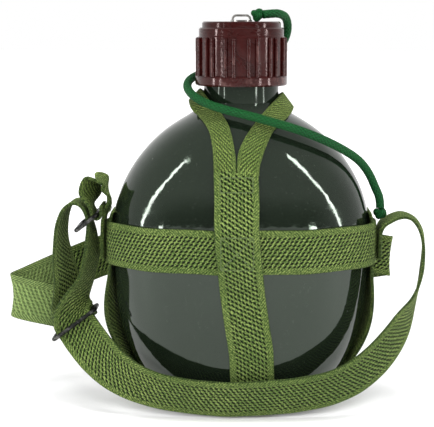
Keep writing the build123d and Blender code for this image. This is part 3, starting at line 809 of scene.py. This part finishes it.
# ---- shoulder strap and the loop that holds the upper slide ----
# centre of the webbing, the direction of its width and, askew in a slide, its section's normal
SHOULDER_ROUTE = [
    ((80.3, 0, 87.5), (0, -1, 0)),
    ((80.3, 0, 95), (0, -1, 0)),
    ((80.5, 0, 102), (0, -1, 0)),
    ((82.6, 0, 106.8), (0, -1, 0)),
    ((87.0, 0, 109.8), (0, -1, 0)),
    ((92.0, -0.5, 111.8), (0, -1, 0)),
    ((97.0, -1.0, 111.4), (0, -1, 0)),
    ((101.4, -2.0, 108.6), (0, -1, -0.1)),
    ((104.8, -3.5, 102.0), (-0.1, -1, -0.1)),
    ((106.0, -5.5, 91.0), (-0.1, -1, 0)),
    ((104.5, -8.5, 77.5), (-0.1, -1, 0.1)),
    ((100.0, -12.5, 64.0), (-0.2, -0.9, 0.2)),
    ((92.5, -18.0, 50.0), (-0.4, -0.7, 0.5)),
    ((82.5, -25.0, 37.0), (-0.5, -0.6, 0.65)),
    ((69.5, -32.5, 26.5), (-0.4, -0.5, 0.8)),
    ((52.0, -38.5, 19.0), (-0.2, -0.45, 0.87)),
    ((32.0, -41.0, 15.0), (-0.1, -0.42, 0.9)),
    ((10.0, -42.0, 13.2), (0, -0.42, 0.9)),
    ((-12.0, -42.0, 12.8), (0, -0.42, 0.9)),
    ((-34.0, -41.0, 14.5), (0.1, -0.42, 0.9)),
    ((-54.0, -37.5, 18.5), (0.25, -0.35, 0.85)),
    ((-70.0, -31.0, 25.0), (0.45, -0.2, 0.75)),
    ((-82.0, -22.5, 33.0), (0.65, -0.05, 0.7)),
    ((-90.5, -13.0, 40.5), (0.78, 0, 0.6)),
    ((-95.4, -9.0, 46.4), (0.8, 0, 0.6), (-0.6, 0, 0.8)),
    ((-98.0, -8.6, 49.9), (0.8, 0, 0.6), (-0.6, 0, 0.8)),
    ((-98.2, -8.3, 56.0), (0.8, 0.35, 0.35), (-0.3, 0, 0.95)),
    ((-95.0, -7.0, 65.5), (0.45, 0.85, -0.1)),
    ((-90.0, -5.5, 76.0), (0.3, 0.95, 0)),
    ((-87.0, -5.0, 88.0), (0.25, 0.95, 0)),
    ((-87.0, -5.0, 99.0), (0.15, 1, 0)),
    ((-88.2, -5.0, 109.0), (0, 1, 0)),
    ((-89.8, -5.0, 115.5), (0, 1, 0)),
    ((-93.0, -5.0, 119.5), (0, 1, 0)),
    ((-97.5, -5.0, 119.8), (0.05, 1, 0)),
    ((-101.5, -5.0, 116.0), (0.1, 1, 0)),
    ((-104.0, -5.0, 108.0), (0.15, 1, 0)),
    ((-105.0, -5.0, 97.0), (0.2, 0.97, 0)),
    ((-104.0, -4.5, 86.0), (0.35, 0.93, 0)),
    ((-102.0, -3.5, 75.0), (0.45, 0.85, 0)),
    ((-101.0, -2.4, 64.5), (0.65, 0.7, 0.1)),
    ((-100.0, -1.7, 57.0), (0.8, 0.3, 0.4), (0.3, 0, -0.95)),
    ((-98.4, -1.4, 50.5), (0.8, 0, 0.6), (0.6, 0, -0.8)),
    ((-96.4, -0.9, 47.8), (0.8, 0, 0.6)),
    ((-95.4, 1.0, 46.3), (0.8, 0, 0.6)),
    ((-95.3, 3.4, 46.2), (0.8, 0, 0.6)),
    ((-96.5, 4.9, 48.0), (0.8, 0, 0.6)),
    ((-99.5, 6.0, 51.6), (0.75, 0.1, 0.65)),
    ((-105.0, 7.0, 54.5), (0.4, 0.1, 0.9)),
    ((-114.0, 5.8, 57.0), (0.2, 0.1, 0.97)),
    ((-124.0, 4.2, 59.5), (0.1, 0.1, 0.98)),
    ((-131.5, 4.4, 61.5), (0.1, 0.1, 0.98)),
    ((-134.6, 7.4, 62.5), (0, 0.1, 0.98)),
    ((-133.6, 11.6, 63.2), (-0.1, 0.1, 0.98)),
    ((-127.0, 16.5, 65.5), (-0.2, 0.05, 0.97)),
    ((-115.0, 25.0, 70.0), (-0.25, 0, 0.95)),
    ((-101.0, 34.5, 75.0), (-0.25, 0, 0.95)),
    ((-84.0, 44.0, 80.5), (-0.2, 0, 0.97)),
    ((-64.0, 51.5, 85.0), (-0.15, 0, 0.98)),
    ((-38.0, 55.0, 88.0), (-0.05, 0, 1)),
    ((-8.0, 56.0, 89.0), (0, 0, 1)),
    ((22.0, 56.0, 88.5), (0.05, 0, 1)),
    ((48.0, 54.5, 86.5), (0.1, 0, 1)),
    ((70.0, 51.0, 83.5), (0.15, 0, 1)),
    ((84.0, 48.0, 81.0), (0.15, 0, 1)),
    ((90.0, 48.4, 79.8), (0.15, 0, 1)),
    ((92.0, 51.6, 79.0), (0.1, 0, 1)),
    ((89.0, 54.6, 78.2), (-0.1, 0, 1)),
    ((80.0, 56.8, 76.5), (-0.15, 0, 1)),
    ((60.0, 60.0, 74.0), (-0.1, 0, 1)),
    ((36.0, 62.0, 72.5), (-0.05, 0, 1)),
    ((10.0, 62.8, 72.0), (0, 0, 1)),
    ((-16.0, 62.5, 72.5), (0.05, 0, 1)),
    ((-40.0, 61.0, 73.5), (0.05, 0, 1)),
]

ANCHOR_ROUTE = [
    ((-80.3, 0, 87.5), (0, 1, 0)),
    ((-80.3, 0, 98), (0, 1, 0)),
    ((-80.1, 0, 109.0), (0, 1, 0)),
    ((-78.9, 0, 112.6), (0, 1, 0)),
    ((-77.9, 0, 117.0), (0.05, 1, 0)),
    ((-77.3, -1, 124), (-0.2, 1, 0.05)),
    ((-79.0, -2, 130.5), (0.1, 0.95, 0.1)),
    ((-82.2, -3, 133.0), (0.3, 0.95, 0.1)),
    ((-85.8, -4, 131.0), (0.45, 0.9, 0)),
    ((-87.6, -4.5, 125.0), (0.4, 0.9, 0)),
    ((-87.0, -5, 118.5), (0, 1, 0)),
    ((-85.4, -5, 113.6), (0, 1, 0)),
    ((-84.4, -5, 112.0), (0, 1, 0)),
    ((-82.8, -5, 111.3), (0, 1, 0)),
    ((-81.2, -5, 112.0), (0, 1, 0)),
    ((-80.3, -5, 113.8), (0, 1, 0)),
    ((-80.3, -5, 118.8), (0, 1, 0)),
]


def ribbon_frame(stations):
    """Dense centre points, width directions and distances along a ribbon's stations."""
    points = np.array([station[0] for station in stations], float)
    sides = []
    for index, station in enumerate(stations):
        low, high = max(index - 1, 0), min(index + 1, len(stations) - 1)
        along = points[high] - points[low]
        if len(station) > 2:
            along = np.array(station[2], float)
        along /= np.linalg.norm(along)
        side = np.array(station[1], float)
        side -= along * (side @ along)
        sides.append(side / np.linalg.norm(side))
    rows = spline_rows(np.concatenate([points, np.array(sides)], 1), 60 * len(stations))
    run = distances(rows[:, :3])
    pick = np.linspace(0, run[-1], int(run[-1] / STATION) + 1)
    line = resample(rows[:, :3], run, pick)
    wide = resample(rows[:, 3:], run, pick)
    return line, wide / np.linalg.norm(wide, axis=1)[:, None], pick


def make_ribbon(name, node, stations, material, wander, seed):
    line, wide, along = ribbon_frame(stations)
    across = columns(WEB)
    grid = line[:, None, :] + wide[:, None, :] * across[None, :, None]
    normals = grid_normals(grid)
    calm = np.minimum(along, along[-1] - along) / 25
    drift = wander * waves(along, seed, 60) * np.clip(calm, 0, 1)
    grid = grid + normals * (drift[:, None] * (across / (WEB / 2))[None, :] ** 2)[:, :, None]
    return cloth_mesh(name, node, grid, normals, along, across, material)


shoulder = make_ribbon("shoulder_webbing", "shoulder_strap", SHOULDER_ROUTE, web_open, 0.35, 3)
anchor = make_ribbon("anchor_webbing", "anchor_loop", ANCHOR_ROUTE, web_close, 0.1, 8)


# ---- sewing ----
THREAD_R = 0.36
THREAD_TWIST = 900.0  # radians of twist in one unit of uv
STITCH = 2.3
STITCH_GAP = 0.6
# share of a stitch's length, and how far the thread stands off the webbing there
STITCH_SHAPE = ((0.08, -0.25), (0.25, 0.12), (0.5, 0.22), (0.75, 0.12), (0.92, -0.25))


def thread_material():
    g = Graph("sewing_thread")
    run = g.add("ShaderNodeUVMap", uv_map="run").outputs[0]
    parts = g.add("ShaderNodeSeparateXYZ", {0: run})
    twist = g.math("ADD", g.math("MULTIPLY", parts.outputs[0], THREAD_TWIST),
                   g.math("MULTIPLY", parts.outputs[1], 2 * math.pi))
    ply = g.math("MULTIPLY_ADD", g.math("SINE", twist), 0.5, 0.5)
    fade = g.noise(g.place(), 300.0, 2.0)
    # Painted shade: darker in the grooves between the thread's plies.
    colour = g.mix(ply, (0.02, 0.042, 0.006), (0.1, 0.155, 0.032))
    colour = g.mix(g.step(fade, 0.4, 0.7, 0.0, 0.5), colour, (0.13, 0.19, 0.05))
    return g.finish((ply, 0.0002, 0.7), Base_Color=colour, Roughness=0.75, Sheen_Weight=0.2)


thread_look = thread_material()


def stitch_row(first, last, surface, place, toward):
    """Stitches from first to last on a seam; place turns a point of the seam into a ray start."""
    first, last = np.array(first, float), np.array(last, float)
    length = np.linalg.norm(last - first)
    count = max(int(round(length / (STITCH + STITCH_GAP))), 1)
    parts = []
    for index in range(count):
        line = []
        for share, lift in STITCH_SHAPE:
            spot = first + (last - first) * (index + share) / count
            where, _ = hit(surface, place(*spot), toward)
            if where is None:
                break
            out = -Vector(toward).normalized()
            line.append(np.array(where + out * lift))
        if len(line) == len(STITCH_SHAPE):
            parts.append(tube_parts(spline_rows(line, 12), THREAD_R, 8, 0.3, taper=0.5))
    return parts


def box_rows(across, up, crossed=True):
    corners = [(-across, -up), (across, -up), (across, up), (-across, up)]
    rows = list(zip(corners, corners[1:] + corners[:1]))
    if crossed:
        rows += [(corners[0], corners[2]), (corners[1], corners[3])]
    return rows


def sew(name, node, piece, rows, place, toward):
    surface = piece_surface(piece)
    parts = []
    for first, last in rows:
        parts += stitch_row(first, last, surface, place, toward)
    seam = make_mesh(name, *gather(parts), thread_look)
    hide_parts(node)
    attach(seam, BOTTLE_BODY)


END_Z = BELT_Z - 1.5
APEX_Z = 134.5
box = box_rows(9.0, 9.0)
low_box = box_rows(9.0, 6.0)
sew("seam_belt_front", "belt_stitches_front", cradle, box,
    lambda a, b: (a - 2.0, -80, BELT_Z + b), (0, 1, 0))
sew("seam_belt_back", "belt_stitches_back", cradle, box,
    lambda a, b: (a, 54.5, BELT_Z + b), (0, -1, 0))
sew("seam_belt_left", "belt_stitches_left", anchor, low_box,
    lambda a, b: (-84, a, END_Z + b), (1, 0, 0))
sew("seam_belt_right", "belt_stitches_right", shoulder, low_box,
    lambda a, b: (84, a, END_Z + b), (-1, 0, 0))
sew("seam_apex_front", "apex_stitches_front", cradle, box_rows(9.0, 4.0, False),
    lambda a, b: (a - 2.4, -80, APEX_Z + b), (0, 1, 0))
sew("seam_apex_back", "apex_stitches_back", cradle, box_rows(9.0, 4.0),
    lambda a, b: (a, 80, APEX_Z + b), (0, -1, 0))
sew("seam_base", "base_stitches", cradle, box,
    lambda a, b: (a, b, -20), (0, 0, 1))
sew("seam_anchor", "anchor_stitches", anchor,
    [((-10, 115.4), (10, 115.4)), ((10, 117.4), (-10, 117.4))],
    lambda a, b: (-83.4, a - 2.5, b), (1, 0, 0))


# ---- loose yarns at the cut ends ----
def frayed(name, spots, ahead, spread, seed, material, count=26):
    """Loose yarns that stand out of a cut end, from spots along it."""
    pick = random.Random(seed)
    parts = []
    first, last = np.array(spots[0], float), np.array(spots[1], float)
    ahead = np.array(ahead, float)
    spread = np.array(spread, float)
    for _ in range(count):
        root = first + (last - first) * pick.random() + spread * pick.uniform(-0.5, 0.5)
        reach = pick.uniform(1.0, 4.2)
        bend = np.array([pick.uniform(-1, 1) for _ in range(3)]) * reach * 0.35
        line = [root - ahead * 0.8, root + ahead * reach * 0.35 + bend * 0.2,
                root + ahead * reach * 0.75 + bend * 0.7, root + ahead * reach + bend * 1.5]
        parts.append(tube_parts(spline_rows(line, 10), pick.uniform(0.1, 0.19), 5, 0.4, taper=0.6))
    yarns = make_mesh(name, *gather(parts), material)
    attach(yarns, BOTTLE_BODY)


# ---- enamel, cap, rubber and metal on the nodes that keep their shape ----
def repaint(material, *names):
    for name in names:
        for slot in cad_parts[name].material_slots:
            slot.material = material


def enamel_material():
    g = Graph("green_enamel")
    place = g.place()
    cloud = g.noise(place, 14.0, 3.0)
    speck = g.noise(place, 900.0, 2.0)
    peel = g.noise(place, 120.0, 2.0)
    swell = g.noise(place, 26.0, 1.0)
    smear = g.noise(place, 33.0, 5.0, 0.6, 1.2)
    fleck = g.add("ShaderNodeTexVoronoi", {"Vector": place, "Scale": 160.0}, feature="F1")
    nick = g.step(fleck.outputs["Distance"], 0.05, 0.11, 1.0, 0.0)
    nick = g.math("MULTIPLY", nick, g.step(cloud, 0.56, 0.66))
    colour = g.mix(g.step(cloud, 0.3, 0.7), (0.0042, 0.0072, 0.0042), (0.008, 0.0125, 0.0076))
    colour = g.mix(g.step(speck, 0.6, 0.75, 0.0, 0.25), colour, (0.05, 0.06, 0.048))
    colour = g.mix(g.math("MULTIPLY", nick, 0.5), colour, (0.10, 0.11, 0.095))
    rough = g.step(smear, 0.45, 0.8, 0.06, 0.16)
    height = g.math("MULTIPLY_ADD", swell, 2.5, peel)
    height = g.math("SUBTRACT", height, g.math("MULTIPLY", nick, 0.3))
    level = g.add("ShaderNodeSeparateXYZ", {0: place}).outputs[2]
    shine = g.step(level, 0.17, 0.182, 1.0, 0.35)
    return g.finish(
        (height, 0.0008, 0.16),
        Base_Color=colour,
        Roughness=rough,
        Specular_IOR_Level=g.math("MULTIPLY", shine, 0.4),
        Specular_Tint=(0.8, 1.0, 0.8),
        Coat_Weight=g.math("MULTIPLY", shine, 0.45),
        Coat_Roughness=g.step(smear, 0.5, 0.85, 0.03, 0.1),
    )


def cap_material(middle_r):
    g = Graph("moulded_cap")
    place = g.place()
    parts = g.add("ShaderNodeSeparateXYZ", {0: place})
    x, y = parts.outputs[0], parts.outputs[1]
    reach = g.math("SQRT", g.math("ADD", g.math("MULTIPLY", x, x), g.math("MULTIPLY", y, y)))
    crest = g.step(reach, middle_r - 0.0004, middle_r)
    grain = g.noise(place, 700.0, 3.0, 0.6)
    flow = g.noise(place, 40.0, 4.0, 0.6, 2.0)
    scuff_and_highlight = g.step(g.noise(place, 130.0, 5.0, 0.7), 0.48, 0.66)
    colour = g.mix(g.step(flow, 0.3, 0.7), (0.016, 0.0014, 0.0012), (0.027, 0.003, 0.0026))
    # Pale patches on the outermost 0.4 mm, the rib crests and skirt, broken up by noise: partly
    # rubbed wear, partly a painted highlight on the crests.
    colour = g.mix(g.math("MULTIPLY", g.math("MULTIPLY", crest, scuff_and_highlight), 0.3), colour,
                   (0.2, 0.11, 0.1))
    colour = g.mix(g.step(grain, 0.66, 0.8, 0.0, 0.12), colour, (0.1, 0.035, 0.03))
    rough = g.math("MULTIPLY_ADD", scuff_and_highlight, 0.08, 0.09)
    height = g.math("MULTIPLY_ADD", grain, 0.3, flow)
    return g.finish((height, 0.0004, 0.25), Base_Color=colour, Roughness=rough,
                    Specular_IOR_Level=0.36, Specular_Tint=(1.0, 0.8, 0.78))


def metal_material(name, dark, light, rough_low, rough_high):
    g = Graph(name)
    place = g.place()
    rub = g.noise(place, 240.0, 5.0, 0.65)
    pit = g.noise(place, 1500.0, 2.0)
    worn = g.step(rub, 0.45, 0.68)
    colour = g.mix(worn, dark, light)
    colour = g.mix(g.step(pit, 0.6, 0.75, 0.0, 0.4), colour, (0.03, 0.028, 0.025))
    rough = g.step(rub, 0.35, 0.7, rough_high, rough_low)
    return g.finish((pit, 0.0002, 0.3), Base_Color=colour, Roughness=rough,
                    Metallic=g.step(rub, 0.3, 0.5, 0.75, 1.0))


def rubber_material():
    g = Graph("seal_rubber")
    place = g.place()
    dust = g.noise(place, 300.0, 4.0)
    colour = g.mix(g.step(dust, 0.4, 0.75), (0.012, 0.012, 0.012), (0.07, 0.066, 0.06))
    return g.finish((dust, 0.0003, 0.3), Base_Color=colour,
                    Roughness=g.step(dust, 0.3, 0.7, 0.6, 0.85))


cap_low, cap_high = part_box("cap_shell")
CAP_R = (cap_high.x - cap_low.x) / 2
repaint(enamel_material(), "bottle", "bottle_neck")
repaint(cap_material(CAP_R), "cap_shell")
repaint(rubber_material(), "cap_gasket")
repaint(metal_material("rivet_steel", (0.35, 0.34, 0.32), (0.62, 0.61, 0.58), 0.22, 0.45),
        "swivel_rivet", "rivet_washer")
repaint(metal_material("slide_metal", (0.018, 0.019, 0.018), (0.16, 0.16, 0.15), 0.3, 0.5),
        "upper_slide", "lower_slide")

frayed("frayed_side_end", [(-76.6, -11, 114.6), (-76.6, 11, 114.6)], (-0.15, 0, 1),
       (1.0, 0, 0), 4, thread_look, 18)
frayed("frayed_strap_end", [(-40.0, 61.0, 61.2), (-40.0, 61.0, 85.8)], (-0.97, -0.1, 0),
       (0, 1.0, 0), 5, thread_look, 30)


# ---- floor, backdrop and light ----
def floor_material():
    g = Graph("pale_floor")
    place = g.place()
    grain = g.noise(place, 6.0, 4.0)
    colour = g.mix(grain, (0.86, 0.86, 0.86), (0.9, 0.9, 0.9))
    away = g.add("ShaderNodeVectorMath", {0: place}, operation="LENGTH").outputs["Value"]
    # Painted light: the floor glows, faintly near the middle and more further out.
    return g.finish((grain, 0.0002, 0.05), Base_Color=colour, Roughness=0.6,
                    Emission_Color=(1.0, 1.0, 1.0, 1.0),
                    Emission_Strength=g.step(away, 0.1, 1.2, 0.08, 0.62))


floor_mesh = bpy.data.meshes.new("floor")
floor_mesh.from_pydata([(-9, -9, 0), (9, -9, 0), (9, 9, 0), (-9, 9, 0)], [], [(0, 1, 2, 3)])
floor_mesh.materials.append(floor_material())
floor = bpy.data.objects.new("floor", floor_mesh)
bpy.context.scene.collection.objects.link(floor)


def lamp(name, low, high, target, width, power, mirrored=True):
    """A rectangular light whose long side runs from low to high and which faces target."""
    low, high, target = Vector(low), Vector(high), Vector(target)
    light = bpy.data.lights.new(name, "AREA")
    light.shape = "RECTANGLE"
    light.size = width
    light.size_y = (high - low).length
    light.energy = power
    middle = (low + high) / 2
    back = (middle - target).normalized()
    side = (high - low).cross(back).normalized()
    turn = Matrix((side, back.cross(side), back)).transposed()
    holder = bpy.data.objects.new(name, light)
    holder.matrix_world = Matrix.Translation(middle) @ turn.to_4x4()
    holder.visible_glossy = mirrored
    bpy.context.scene.collection.objects.link(holder)


MIDDLE = (0, -0.03, 0.13)
lamp("left_strip", (-0.99, -0.29, 0.1), (-0.66, -0.52, 0.74), MIDDLE, 0.05, 2.7)
lamp("right_strip", (0.99, -0.29, 0.1), (0.6, -0.56, 0.8), MIDDLE, 0.05, 3.0)
lamp("cap_strip_right", (2.19, -2.05, 0.01), (2.19, -2.05, 0.11), (0, 0, 0.2), 0.25, 2.4)
lamp("cap_strip_left", (-2.4, -1.8, 0.01), (-2.4, -1.8, 0.11), (0, 0, 0.2), 0.14, 1.2)
lamp("top_fill", (0.1, -0.45, 1.25), (0.1, -0.05, 1.25), MIDDLE, 0.5, 8.0, False)
lamp("front_fill", (0.25, -1.6, 0.85), (0.25, -1.8, 1.35), MIDDLE, 0.7, 17.0, False)
lamp("left_fill", (-1.35, -1.1, 0.25), (-1.35, -1.1, 0.75), MIDDLE, 0.5, 9.0, False)


def studio_world():
    """A pale room, darker in front and in a band at the front horizon; the camera sees white."""
    g = Graph("studio", bpy.data.worlds)
    way = g.add("ShaderNodeTexCoord").outputs["Generated"]
    toward = g.add("ShaderNodeSeparateXYZ", {0: way}).outputs
    room = g.step(toward[1], -0.1, 0.8, 0.58, 1.0)
    front = g.step(toward[1], -0.75, -0.3, 0.75, 0.0)
    horizon = g.step(g.math("ABSOLUTE", toward[2]), 0.06, 0.34, 1.0, 0.0)
    dark = g.math("MULTIPLY", front, horizon)
    lit = g.math("MULTIPLY", room, g.math("SUBTRACT", 1.0, dark))
    seen = g.add("ShaderNodeLightPath").outputs["Is Camera Ray"]
    strength = g.math("MAXIMUM", lit, seen)
    light = g.add("ShaderNodeBackground", {"Color": (1.0, 1.0, 1.0), "Strength": strength})
    out = g.add("ShaderNodeOutputWorld")
    g.tree.links.new(light.outputs[0], out.inputs["Surface"])
    return g.owner


bpy.context.scene.world = studio_world()
bpy.context.scene.view_settings.view_transform = "Standard"
